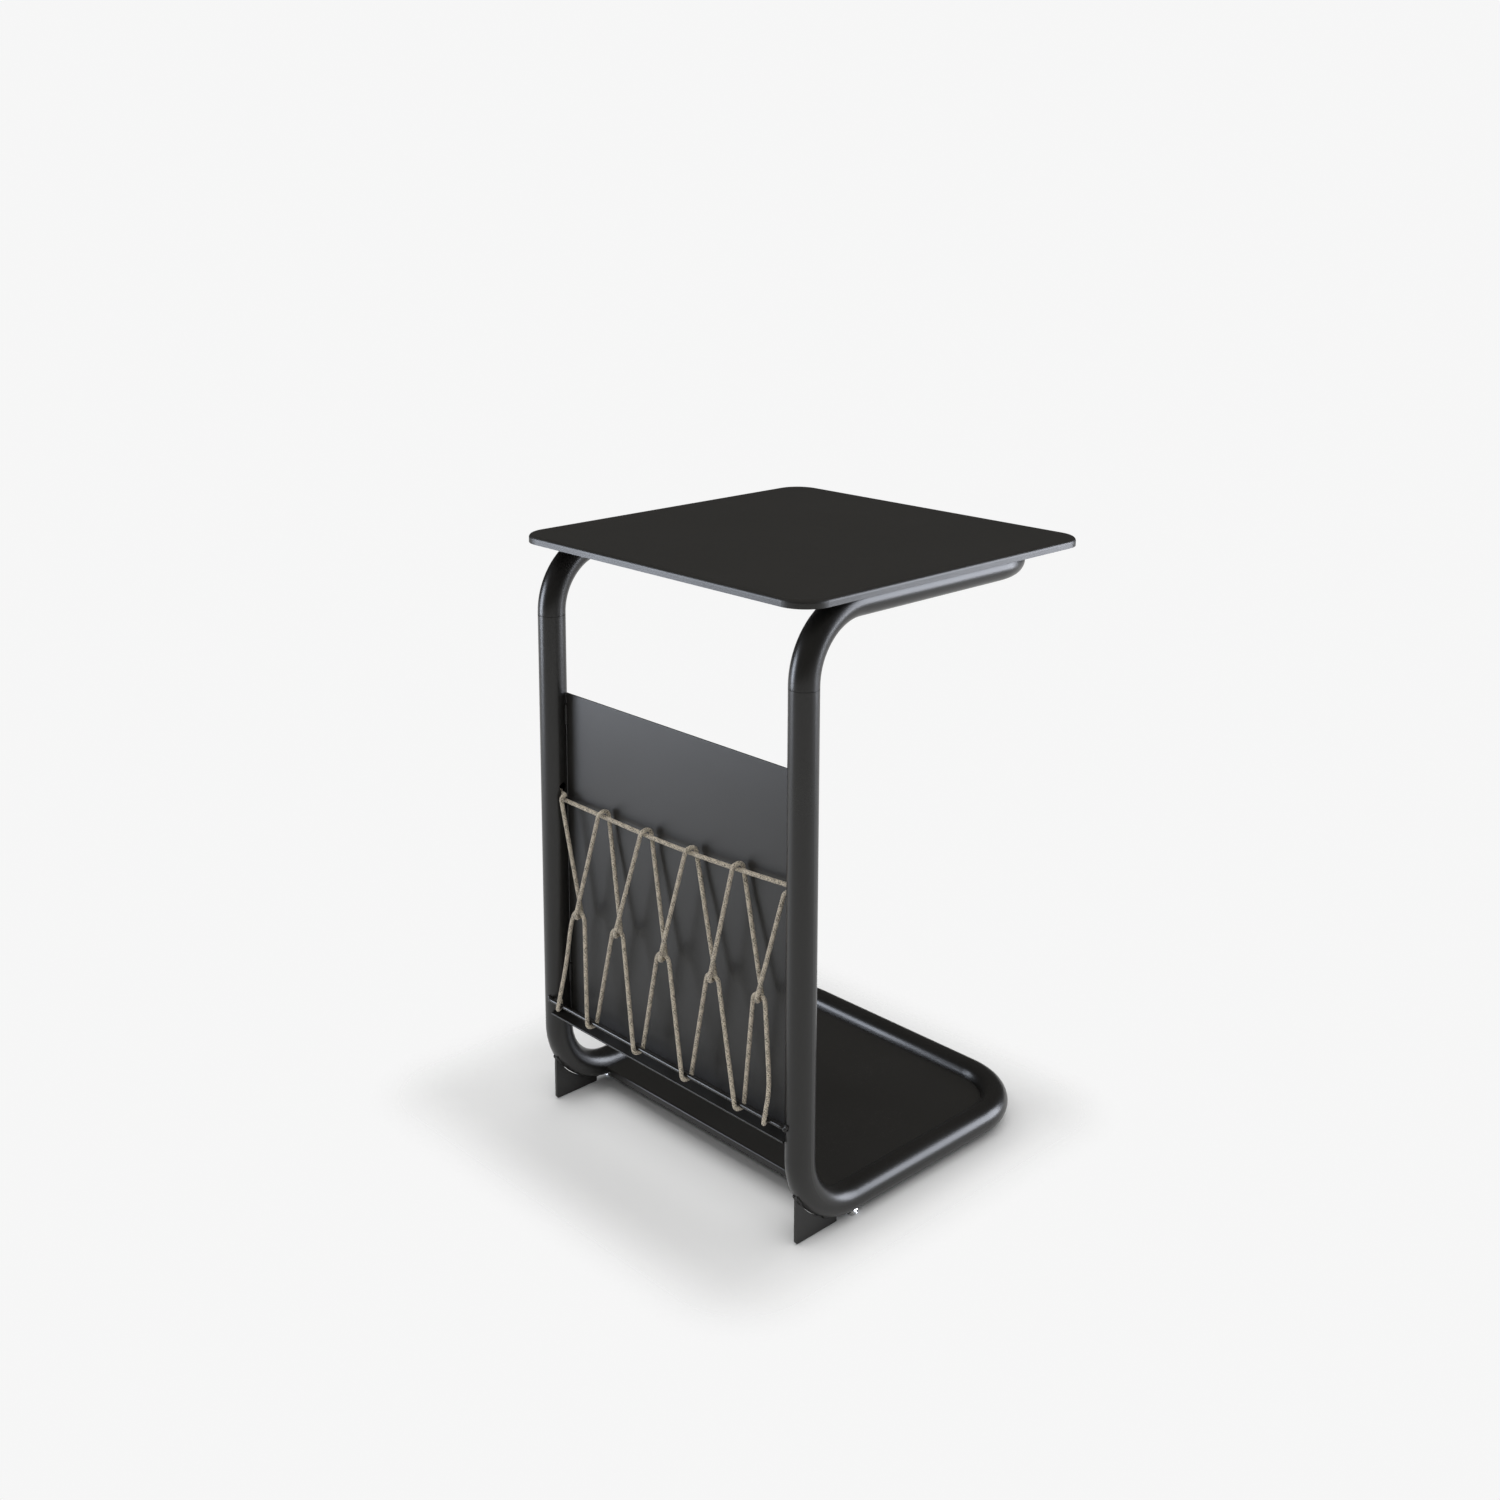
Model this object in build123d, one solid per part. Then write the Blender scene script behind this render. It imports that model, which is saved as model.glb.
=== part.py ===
from build123d import *
from math import asin, cos, degrees, pi, radians, sin, tan
import os

# Square side table on a C-shaped tube frame, with a magazine rack between its two uprights.
# Millimetres, +Z up. The origin is on the floor under the middle of the square top.
# The uprights stand at -Y, and the far rails of the C lie at +Y.

# Top
TOP_SIZE = 400.0
TOP_HEIGHT = 610.0
TOP_CORNER_RADIUS = 29.0
TOP_THICKNESS = 2.5
TOP_RIM_DEPTH = 8.0
TOP_RIM_THICKNESS = 2.0
TOP_EDGE_ROUNDING = 3.5

# Tube frame
TUBE_RADIUS = 14.0
TUBE_WALL = 1.5
TUBE_BORE = TUBE_RADIUS - TUBE_WALL
RAIL_X = 176.5
UPRIGHT_Y = -176.5
FAR_RAIL_Y = 151.5
BASE_RAIL_Z = 19.6
TOP_RAIL_Z = TOP_HEIGHT - TOP_THICKNESS - TUBE_RADIUS
SIDE_BEND_RADIUS = 65.0
CORNER_BEND_RADIUS = 66.0
JOINT_Z = 527.0
JOINT_CHAMFER = 0.25
INNER_X = RAIL_X - TUBE_RADIUS

# Shelf between the base rails
SHELF_THICKNESS = 2.0
SHELF_FRONT_Y = -125.5
SHELF_HEM = 7.0
SHELF_GAP = 0.06

# Rack panel and its ledge
PANEL_HALF_WIDTH = 164.3
PANEL_FRONT_Y = -169.5
PANEL_THICKNESS = 1.8
PANEL_TOP_Z = 446.0
PANEL_FOLD_RADIUS = 3.0
LEDGE_TOP_Z = 104.0
LEDGE_FRONT_Y = -192.2
LEDGE_HALF_WIDTH = 169.4
LEDGE_TUBE_GAP = 0.3

# Rounding along the hem's foot, the panel's top and the ledge's lip
SHEET_EDGE_ROUNDING = 0.5

# Rack rod
ROD_RADIUS = 2.0
ROD_Y = -192.0
ROD_Z = 118.0
ROD_BEND_X = 169.5
ROD_END = (173.0, -188.0)
ROD_BEND_RADIUS = 5.0

# Foot plates under the lower bends
FOOT_THICKNESS = 3.0
FOOT_FRONT_Y = -182.0
FOOT_BACK_Y = -128.0
FOOT_BOTTOM_Z = 1.0
FOOT_CORNER_RADIUS = 2.5
FOOT_NOTCH_RADIUS = 4.0
FOOT_SLOT_WIDTH = 0.5
FOOT_SLOT_ANGLES = (220.5, 237.5)

# Levelling glides, their studs and nuts
GLIDE_RADIUS = 6.5
GLIDE_EDGE_ROUNDING = 1.6
GLIDE_TOP_GAP = 0.1
STUD_RADIUS = 3.0
STUD_LENGTH = 10.0
NUT_RADIUS = 5.5
NUT_HEIGHT = 9.0
NUT_COLLAR_RADIUS = 4.6
NUT_BORE_RADIUS = 3.05
RACK_GLIDE_Y = -106.5
FAR_GLIDE_X = 104.0

# Cords, their keyholes in the uprights and the stopper knots inside them
CORD_DIAMETER = 4.4
KEYHOLE_RADIUS = 4.3
KEYHOLE_TOP_Z = 348.4
KEYHOLE_SLOT_RADIUS = 2.9
KEYHOLE_BOTTOM_Z = 335.0
KNOT_RADIUS = 6.8
KNOT_X = 171.2
KNOT_FACE_X = 168.0
KNOT_Z = 338.4

# The lacing hangs from the top cord, hooks through itself halfway, and turns round the rod.
TOP_CORD_ROUTE = [
    (-168.0, -176.5, 335.0), (-95.0, -178.6, 335.2), (-30.0, -179.4, 334.8),
    (34.0, -179.4, 335.6), (97.0, -178.6, 338.4), (168.0, -176.5, 342.4),
]
UPPER_LACING_ROUTE = [
    (-168.0, -176.5, 341.2), (-156.5, -176.5, 341.4), (-157.2, -183.8, 340.2),
    (-130.5, -180.0, 220.7), (-127.8, -191.2, 220.7), (-95.6, -184.4, 341.0), (-94.6, -173.4, 340.8),
    (-69.0, -180.0, 221.2), (-66.6, -191.2, 221.2), (-30.4, -185.2, 340.6), (-29.4, -174.2, 340.4),
    (-1.6, -180.0, 219.0), (0.8, -191.2, 219.0), (33.6, -185.2, 341.4), (34.8, -174.2, 341.2),
    (68.4, -180.0, 222.8), (70.8, -191.2, 222.8), (96.6, -184.4, 344.4), (97.8, -173.4, 344.2),
    (130.8, -180.0, 225.4), (133.4, -191.2, 225.4), (155.8, -176.9, 336.4), (168.0, -176.5, 336.4),
]
LOWER_LACING_ROUTE = [
    (-159.5, -186.9, 121.4), (-158.5, -186.9, 113.4), (-152.4, -197.1, 113.4), (-144.6, -189.6, 168.0),
    (-139.0, -185.5, 226.0), (-119.6, -185.5, 226.6), (-103.4, -197.1, 113.4), (-101.2, -186.9, 113.4),
    (-74.6, -185.5, 226.4), (-60.0, -185.5, 227.2), (-31.0, -197.1, 113.4), (-29.6, -186.9, 113.4),
    (-7.4, -185.5, 224.4), (8.2, -185.5, 225.0), (40.0, -197.1, 113.4), (41.2, -186.9, 113.4),
    (63.0, -185.5, 228.0), (77.4, -185.5, 228.6), (112.8, -197.1, 113.4), (114.0, -186.9, 113.4),
    (125.0, -185.5, 230.6), (139.6, -185.5, 231.4), (153.6, -193.0, 150.0), (149.8, -197.1, 113.4),
    (143.4, -186.9, 113.4), (142.4, -186.9, 121.4),
]


def swept_round(corners, radii, radius):
    """Sweep a full disc along straight runs joined by tangent arcs."""
    path = FilletPolyline(*corners, radius=radii)
    start = Vector(*corners[0])
    section = Plane(origin=start, z_dir=Vector(*corners[1]) - start) * Circle(radius)
    return sweep(section, path=path)


def u_frame(open_z, rail_z):
    """Tube from one upright's open end, along the rails and round to the other open end."""
    corners = [
        (-RAIL_X, UPRIGHT_Y, open_z), (-RAIL_X, UPRIGHT_Y, rail_z), (-RAIL_X, FAR_RAIL_Y, rail_z),
        (RAIL_X, FAR_RAIL_Y, rail_z), (RAIL_X, UPRIGHT_Y, rail_z), (RAIL_X, UPRIGHT_Y, open_z),
    ]
    radii = [SIDE_BEND_RADIUS, CORNER_BEND_RADIUS, CORNER_BEND_RADIUS, SIDE_BEND_RADIUS]
    tube = swept_round(corners, radii, TUBE_RADIUS) - swept_round(corners, radii, TUBE_BORE)
    rims = tube.edges().filter_by(GeomType.CIRCLE).filter_by_position(Axis.Z, open_z - 0.1, open_z + 0.1)
    outer_rims = [edge for edge in rims if edge.radius > TUBE_BORE + TUBE_WALL / 2]
    return chamfer(outer_rims, JOINT_CHAMFER)


def keyhole_cutter(side):
    """Round hole with a slot below it, through the inner wall of one upright."""
    drop = KEYHOLE_TOP_Z - KEYHOLE_BOTTOM_Z
    outline = Pos(0, KEYHOLE_TOP_Z) * Circle(KEYHOLE_RADIUS)
    outline += Pos(0, KEYHOLE_BOTTOM_Z) * Circle(KEYHOLE_SLOT_RADIUS)
    outline += Pos(0, KEYHOLE_BOTTOM_Z + drop / 2) * Rectangle(2 * KEYHOLE_SLOT_RADIUS, drop)
    wall = Plane(origin=(side * (INNER_X - TUBE_WALL), UPRIGHT_Y, 0), x_dir=(0, side, 0), z_dir=(side, 0, 0))
    return extrude(wall * outline, amount=4 * TUBE_WALL)


def glide_places():
    """Name and position of each glide's axis."""
    return {
        "glide_rack_left": (-RAIL_X, RACK_GLIDE_Y), "glide_rack_right": (RAIL_X, RACK_GLIDE_Y),
        "glide_far_left": (-FAR_GLIDE_X, FAR_RAIL_Y), "glide_far_right": (FAR_GLIDE_X, FAR_RAIL_Y),
    }


def rod_along_z(x, y, z_low, z_high, radius):
    return Pos(x, y, (z_low + z_high) / 2) * Cylinder(radius, z_high - z_low)


def base_frame():
    tube = u_frame(JOINT_Z, BASE_RAIL_Z)
    for side in (-1, 1):
        tube -= keyhole_cutter(side)
    for x, y in glide_places().values():
        tube -= rod_along_z(x, y, 0, BASE_RAIL_Z, NUT_COLLAR_RADIUS)
    return tube


def top_frame():
    return u_frame(JOINT_Z, TOP_RAIL_Z)


def top_plate():
    """Shallow upturned tray of sheet steel with a rounded outer edge."""
    outer_outline = RectangleRounded(TOP_SIZE, TOP_SIZE, TOP_CORNER_RADIUS)
    inner_size = TOP_SIZE - 2 * TOP_RIM_THICKNESS
    inner_outline = RectangleRounded(inner_size, inner_size, TOP_CORNER_RADIUS - TOP_RIM_THICKNESS)
    rim_z = TOP_HEIGHT - TOP_RIM_DEPTH
    tray = Pos(0, 0, rim_z) * extrude(outer_outline, amount=TOP_RIM_DEPTH)
    top_edges = tray.edges().filter_by_position(Axis.Z, TOP_HEIGHT - 0.1, TOP_HEIGHT + 0.1)
    tray = fillet(top_edges, TOP_EDGE_ROUNDING)
    return tray - Pos(0, 0, rim_z) * extrude(inner_outline, amount=TOP_RIM_DEPTH - TOP_THICKNESS)


def bead(start, end, radius):
    """Weld bead: a round-ended bar between two points."""
    start = Vector(*start)
    end = Vector(*end)
    run = Plane(origin=start, z_dir=end - start)
    bar = extrude(run * Circle(radius), amount=(end - start).length)
    return bar + Pos(start) * Sphere(radius) + Pos(end) * Sphere(radius)


def cut_beads(beads, *neighbours):
    """Trim each bead to the faces that it lies against, and keep its one visible lump."""
    trimmed = []
    for lump in beads:
        for neighbour in neighbours:
            lump = lump - neighbour
        trimmed.append(max(lump.solids(), key=lambda solid: solid.volume))
    return Compound(children=trimmed)


def top_plate_welds(plate, frame):
    """Short beads in the gap beside the top rails, under the plate."""
    radius = 2.6
    half = 7.0
    beside = TUBE_RADIUS * 0.62
    z = TOP_HEIGHT - TOP_THICKNESS - radius * 0.75
    beads = []
    for side in (-1, 1):
        for y in (-91.5, 58.5):
            x = side * (RAIL_X + beside)
            beads.append(bead((x, y - half, z), (x, y + half, z), radius))
        x = side * 60.0
        beads.append(bead((x - half, FAR_RAIL_Y + beside, z), (x + half, FAR_RAIL_Y + beside, z), radius))
    return cut_beads(beads, plate, frame)


def base_shelf():
    """Flat sheet inside the base loop, hemmed down along its free edge."""
    half_width = INNER_X - SHELF_GAP
    back_y = FAR_RAIL_Y - TUBE_RADIUS - SHELF_GAP
    depth = back_y - SHELF_FRONT_Y
    corner = CORNER_BEND_RADIUS - TUBE_RADIUS - SHELF_GAP
    sheet = Pos(0, SHELF_FRONT_Y + depth / 2, BASE_RAIL_Z) * Box(2 * half_width, depth, SHELF_THICKNESS)
    far_edges = sheet.edges().filter_by(Axis.Z).group_by(Axis.Y)[-1]
    sheet = fillet(far_edges, corner)
    hem_top = BASE_RAIL_Z + SHELF_THICKNESS / 2
    hem = Pos(0, SHELF_FRONT_Y + SHELF_THICKNESS / 2, hem_top - SHELF_HEM / 2)
    sheet += hem * Box(2 * (half_width - SHELF_HEM), SHELF_THICKNESS, SHELF_HEM)
    fold = sheet.edges().filter_by(Axis.X).group_by(Axis.Y)[0].group_by(Axis.Z)[-1]
    sheet = fillet(fold, SHELF_THICKNESS * 0.6)
    hem_foot = sheet.edges().filter_by(Axis.X).group_by(Axis.Z)[0]
    return fillet(hem_foot, SHEET_EDGE_ROUNDING)


def shelf_welds(shelf, frame):
    """Beads under the shelf, along the inner side of the base rails."""
    radius = 2.2
    half = 8.0
    z = BASE_RAIL_Z - SHELF_THICKNESS / 2 - radius * 0.6
    beads = []
    for side in (-1, 1):
        x = side * (INNER_X - radius * 0.4)
        for y in (-85.0, 0.0, 75.0):
            beads.append(bead((x, y - half, z), (x, y + half, z), radius))
        x = side * 60.0
        y = FAR_RAIL_Y - TUBE_RADIUS - radius * 0.4
        beads.append(bead((x - half, y, z), (x + half, y, z), radius))
    return cut_beads(beads, shelf, frame)


def rack_panel():
    """One folded sheet: the upright panel, and the ledge that runs forward from its foot."""
    height = PANEL_TOP_Z - LEDGE_TOP_Z + PANEL_THICKNESS
    low_z = LEDGE_TOP_Z - PANEL_THICKNESS
    back_y = PANEL_FRONT_Y + PANEL_THICKNESS
    panel = Pos(0, PANEL_FRONT_Y + PANEL_THICKNESS / 2, low_z + height / 2)
    panel *= Box(2 * PANEL_HALF_WIDTH, PANEL_THICKNESS, height)
    depth = back_y - LEDGE_FRONT_Y
    ledge = Pos(0, LEDGE_FRONT_Y + depth / 2, low_z + PANEL_THICKNESS / 2)
    ledge *= Box(2 * LEDGE_HALF_WIDTH, depth, PANEL_THICKNESS)
    sheet = panel + ledge
    for side in (-1, 1):
        clearance = TUBE_RADIUS + LEDGE_TUBE_GAP
        sheet -= rod_along_z(side * RAIL_X, UPRIGHT_Y, low_z - 1, LEDGE_TOP_Z + 1, clearance)
    fold = sheet.edges().filter_by(Axis.X).group_by(Axis.Y)[-1].group_by(Axis.Z)[0]
    sheet = fillet(fold, PANEL_FOLD_RADIUS)
    top_edges = sheet.edges().filter_by(Axis.X).group_by(Axis.Z)[-1]
    lip_edges = sheet.edges().filter_by(Axis.X).group_by(Axis.Y)[0]
    return fillet([*top_edges, *lip_edges], SHEET_EDGE_ROUNDING)


def rack_panel_welds(panel, frame):
    """Upright beads beside the panel, and beads under the ledge's ends."""
    beads = []
    for side in (-1, 1):
        x = side * (PANEL_HALF_WIDTH - 1.0)
        y = PANEL_FRONT_Y - 1.0
        for low_z in (135.0, 415.0):
            beads.append(bead((x, y, low_z), (x, y, low_z + 18.0), 2.3))
        x = side * (INNER_X - 0.4)
        z = LEDGE_TOP_Z - PANEL_THICKNESS - 1.2
        beads.append(bead((x, UPRIGHT_Y - 3, z), (x, UPRIGHT_Y + 3, z), 2.2))
    return cut_beads(beads, panel, frame)


def rack_rod(frame):
    """Thin rod across the uprights, its ends turned back and cut to fit against their front sides."""
    end_x, end_y = ROD_END
    corners = [
        (-end_x, end_y, ROD_Z), (-ROD_BEND_X, ROD_Y, ROD_Z), (ROD_BEND_X, ROD_Y, ROD_Z), (end_x, end_y, ROD_Z),
    ]
    rod = swept_round(corners, [ROD_BEND_RADIUS, ROD_BEND_RADIUS], ROD_RADIUS)
    return max((rod - frame).solids(), key=lambda solid: solid.volume)


def rack_rod_welds(rod, frame):
    """Blobs that hold the rod's ends to the uprights."""
    lumps = []
    for side in (-1, 1):
        lumps.append(bead((side * 171.6, -190.9, ROD_Z - 1.2), (side * 173.2, -190.4, ROD_Z + 1.2), 2.7))
    return cut_beads(lumps, rod, frame)


def foot_plate(side, frame):
    """Upright plate under one lower bend, notched behind so that it stands clear of the glide."""
    bend_centre = (UPRIGHT_Y + SIDE_BEND_RADIUS, BASE_RAIL_Z + SIDE_BEND_RADIUS)
    bend_outside = SIDE_BEND_RADIUS + TUBE_RADIUS
    heel_y = FOOT_BACK_Y + FOOT_NOTCH_RADIUS
    top_z = BASE_RAIL_Z + SIDE_BEND_RADIUS
    outline = make_face(Polyline(
        (FOOT_FRONT_Y, FOOT_BOTTOM_Z), (FOOT_BACK_Y, FOOT_BOTTOM_Z), (FOOT_BACK_Y, BASE_RAIL_Z - TUBE_RADIUS),
        (heel_y, BASE_RAIL_Z - TUBE_RADIUS), (heel_y, top_z), (FOOT_FRONT_Y, top_z), close=True,
    ))
    toe = outline.vertices().sort_by(Axis.X)[:2].sort_by(Axis.Y)[0]
    outline = fillet(toe, FOOT_CORNER_RADIUS)
    disc = Pos(*bend_centre) * Circle(bend_outside + 0.02)
    outline -= disc
    first, last = FOOT_SLOT_ANGLES
    slot_path = Pos(*bend_centre) * CenterArc((0, 0), bend_outside, first, last - first)
    outline -= trace(slot_path, 2 * FOOT_SLOT_WIDTH)
    outline = max(outline.faces(), key=lambda face: face.area)
    across = Plane(origin=(side * RAIL_X - FOOT_THICKNESS / 2, 0, 0), x_dir=(0, 1, 0), z_dir=(1, 0, 0))
    return extrude(across * outline, amount=FOOT_THICKNESS) - frame


def foot_plate_welds(feet, frame):
    """Beads along both faces of each foot plate, where it meets the bend."""
    centre_y = UPRIGHT_Y + SIDE_BEND_RADIUS
    centre_z = BASE_RAIL_Z + SIDE_BEND_RADIUS
    reach = SIDE_BEND_RADIUS + TUBE_RADIUS
    beads = []
    for side in (-1, 1):
        for face in (-1, 1):
            x = side * RAIL_X + face * (FOOT_THICKNESS / 2 + 0.6)
            for angle in (211.0, 247.0):
                ends = [radians(angle - 3.0), radians(angle + 3.0)]
                points = [(x, centre_y + reach * cos(turn), centre_z + reach * sin(turn)) for turn in ends]
                beads.append(bead(points[0], points[1], 1.7))
    return cut_beads(beads, *feet, frame)


def glide(x, y):
    """Round glide with a stud, screwed fully in under the tube."""
    head_top = BASE_RAIL_Z - TUBE_RADIUS - GLIDE_TOP_GAP
    head = rod_along_z(x, y, 0, head_top, GLIDE_RADIUS)
    head = fillet(head.edges().group_by(Axis.Z)[0], GLIDE_EDGE_ROUNDING)
    return head + rod_along_z(x, y, head_top, head_top + STUD_LENGTH, STUD_RADIUS)


def glide_nuts(frame):
    """Nuts inside the base tube, each with a collar through the wall."""
    nuts = []
    wall_bottom = BASE_RAIL_Z - TUBE_RADIUS
    for x, y in glide_places().values():
        nut = rod_along_z(x, y, wall_bottom + TUBE_WALL, wall_bottom + NUT_HEIGHT, NUT_RADIUS)
        nut = nut - frame
        nut += rod_along_z(x, y, wall_bottom + 0.2, wall_bottom + NUT_HEIGHT / 2, NUT_COLLAR_RADIUS)
        nut -= rod_along_z(x, y, 0, wall_bottom + 2 * NUT_HEIGHT, NUT_BORE_RADIUS)
        nuts.append(nut.solid())
    return Compound(children=nuts)


def cord_knots():
    """Stopper knots inside the uprights, each a ball with a flat where the cords run in."""
    flat_latitude = degrees(asin((KNOT_X - KNOT_FACE_X) / KNOT_RADIUS))
    knots = []
    for side in (-1, 1):
        outward = Plane(origin=(side * KNOT_X, UPRIGHT_Y, KNOT_Z), z_dir=(side, 0, 0))
        knots.append(outward * Sphere(KNOT_RADIUS, arc_size1=-flat_latitude, align=Align.NONE))
    return Compound(children=[knot.solid() for knot in knots])


def corner_radii(route):
    """Largest tangent arc at each corner: 0.45 of its shorter run over the tangent of half the turn."""
    points = [Vector(*point) for point in route]
    radii = []
    for before, corner, after in zip(points, points[1:], points[2:]):
        arriving = corner - before
        leaving = after - corner
        shorter = min(arriving.length, leaving.length)
        radii.append(0.45 * shorter / tan(radians(arriving.get_angle(leaving)) / 2))
    return radii


def cord(name, route):
    """Cord as a round tube along its route, with its radii and a check of its volume."""
    radii = corner_radii(route)
    tube = swept_round(route, radii, CORD_DIAMETER / 2)
    length = FilletPolyline(*route, radius=radii).length
    section = pi * CORD_DIAMETER ** 2 / 4
    print(name, "length", round(length, 1), "volume ratio", round(tube.volume / (section * length), 4))
    print("  radii", [round(radius, 1) for radius in radii])
    return tube


def build():
    base = base_frame()
    upper = top_frame()
    plate = top_plate()
    shelf = base_shelf()
    panel = rack_panel()
    rod = rack_rod(base)
    feet = {"foot_plate_left": foot_plate(-1, base), "foot_plate_right": foot_plate(1, base)}
    parts = {
        "base_frame_tube": base,
        "top_frame_tube": upper,
        "top_plate": plate,
        "top_plate_welds": top_plate_welds(plate, upper),
        "base_shelf": shelf,
        "shelf_welds": shelf_welds(shelf, base),
        "rack_panel": panel,
        "rack_panel_welds": rack_panel_welds(panel, base),
        "rack_rod": rod,
        "rack_rod_welds": rack_rod_welds(rod, base),
        "foot_plate_welds": foot_plate_welds(list(feet.values()), base),
        "glide_nuts": glide_nuts(base),
        "cord_knots": cord_knots(),
        "top_cord": cord("top_cord", TOP_CORD_ROUTE),
        "upper_lacing_cord": cord("upper_lacing_cord", UPPER_LACING_ROUTE),
        "lower_lacing_cord": cord("lower_lacing_cord", LOWER_LACING_ROUTE),
    }
    parts.update(feet)
    for name, (x, y) in glide_places().items():
        parts[name] = glide(x, y)
    return parts


os.makedirs("parts", exist_ok=True)
for node, shape in build().items():
    export_step(shape, f"parts/{node}.step")
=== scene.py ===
"""Looks of a side table with a corded magazine rack, built around its packed frame. Metres, +Z up."""
from math import cos, pi, radians, sin

import bpy
import numpy as np
from bpy.props import FloatProperty, FloatVectorProperty, IntProperty, PointerProperty
from bpy.types import Operator, Panel, PropertyGroup
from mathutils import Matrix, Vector


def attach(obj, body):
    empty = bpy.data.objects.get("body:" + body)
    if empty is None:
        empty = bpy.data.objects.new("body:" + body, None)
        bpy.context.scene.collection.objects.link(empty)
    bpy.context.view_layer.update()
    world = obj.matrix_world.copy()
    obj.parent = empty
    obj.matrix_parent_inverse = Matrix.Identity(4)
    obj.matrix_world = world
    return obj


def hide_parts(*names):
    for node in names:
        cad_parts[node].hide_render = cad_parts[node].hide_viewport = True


bl_info = {
    "name": "Corded Side Table",
    "version": (1, 0, 0),
    "blender": (4, 5, 0),
    "location": "View3D > Sidebar > Side Table",
    "description": "Finishes a tube-framed side table: paint, braided cords, glides, welds and a studio",
    "category": "Add Mesh",
}

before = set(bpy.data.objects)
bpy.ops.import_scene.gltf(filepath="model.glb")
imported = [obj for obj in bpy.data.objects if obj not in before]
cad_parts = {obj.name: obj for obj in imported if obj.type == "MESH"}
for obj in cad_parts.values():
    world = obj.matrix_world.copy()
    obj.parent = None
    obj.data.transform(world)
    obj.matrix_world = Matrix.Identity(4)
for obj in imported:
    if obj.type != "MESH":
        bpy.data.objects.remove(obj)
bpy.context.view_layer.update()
TABLE = "table"
PAINTED_FRAME = (
    "base_frame_tube", "top_frame_tube", "rack_rod", "foot_plate_left", "foot_plate_right",
)
PAINTED_SHEETS = ("top_plate", "base_shelf", "rack_panel")
WELDS = ("top_plate_welds", "shelf_welds", "rack_panel_welds", "rack_rod_welds", "foot_plate_welds")
GLIDES = {
    "glide_rack_left": (-0.1765, -0.1065), "glide_rack_right": (0.1765, -0.1065),
    "glide_far_left": (-0.104, 0.1515), "glide_far_right": (0.104, 0.1515),
}

# Glide: foot and head from the floor up, as height and radius, None where the six-sided head shows.
GLIDE_PROFILE = (
    (0.0, 0.0), (0.0, 0.0050), (0.0002, 0.0058), (0.0007, 0.0063), (0.0013, 0.0065), (0.0017, 0.0064),
    (0.0020, 0.0061), (0.0021, 0.0052), (0.0023, 0.0046), (0.0025, 0.0046), (0.0026, None), (0.0050, None),
    (0.0054, 0.0050), (0.0055, 0.0031), (0.00552, 0.0030),
)
HEAD_HALF_FLATS = 0.0056
HEAD_CORNER_RADIUS = 0.0063
STUD_RADIUS = 0.003
STUD_BOTTOM = 0.0057
STUD_TOP = 0.0152
STUD_LEVELS = 96
STUD_TIP = 0.0156
STUD_TIP_LENGTH = 0.0006

# Weld beads: distances from the table's middle, half lengths and radii.
TOP_WELD_X = 0.18518
TOP_WELD_SIDE_Y = (-0.0915, 0.0585)
TOP_WELD_FAR_Y = 0.16018
TOP_WELD_Z = 0.60555
TOP_WELD_HALF = 0.007
TOP_WELD_RADIUS = 0.0026
SHELF_WELD_X = 0.16162
SHELF_WELD_SIDE_Y = (-0.085, 0.0, 0.075)
SHELF_WELD_FAR_Y = 0.13662
SHELF_WELD_Z = 0.01728
SHELF_WELD_HALF = 0.008
SHELF_WELD_RADIUS = 0.0022
FAR_WELD_X = 0.06
PANEL_WELD_X = 0.1633
PANEL_WELD_Y = -0.1705
PANEL_WELD_LOW_Z = (0.135, 0.415)
PANEL_WELD_LENGTH = 0.018
PANEL_WELD_RADIUS = 0.0023
LEDGE_WELD = ((0.1621, -0.1795, 0.101), (0.1621, -0.1735, 0.101))
LEDGE_WELD_RADIUS = 0.0022
ROD_WELD = ((0.1716, -0.1909, 0.1168), (0.1732, -0.1904, 0.1192))
ROD_WELD_RADIUS = 0.0027
FOOT_X = 0.1765
FOOT_WELD_OFFSET = 0.0021
FOOT_WELD_TURNS = (211.0, 247.0)
FOOT_WELD_HALF_TURN = 3.0
FOOT_WELD_RADIUS = 0.0017
LOWER_BEND_Y = -0.1115
LOWER_BEND_Z = 0.0846
LOWER_BEND_OUTSIDE = 0.079

# Stopper knots inside the uprights.
KNOT_X = 0.1712
KNOT_Y = -0.1765
KNOT_Z = 0.3384
KNOT_REACH = 0.0041
KNOT_WEAVE = 0.0007
KNOT_LATITUDE = radians(48.0)
KNOT_TURNS = 3

# Camera, and lights with their name, place, size, power, colour and what sees them.
CAMERA_PLACE = (1.1898, -1.2254, 0.9665)
CAMERA_TURN = (radians(79.481), 0.0, radians(46.782))
CAMERA_LENS = 42.171
CAMERA_SENSOR = 36.0
CAMERA_SHIFT = (0.0186, -0.1699)
LIGHT_TARGET = (0.0, 0.0, 0.3)
STUDIO_LIGHTS = (
    ("overhead_light", (0.0, 0.0, 2.6), (7.0, 7.0), 231.0, (1.0, 0.995, 0.98), "matt"),
    ("rack_card", (-1.5, -1.55, 0.5), (0.85, 1.1), 34.0, (0.82, 0.88, 1.0), "reflections"),
    ("side_card", (1.55, 1.75, 0.6), (1.5, 1.4), 66.0, (0.86, 0.9, 1.0), "reflections"),
)
FLOOR_SIDES = 48

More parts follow.
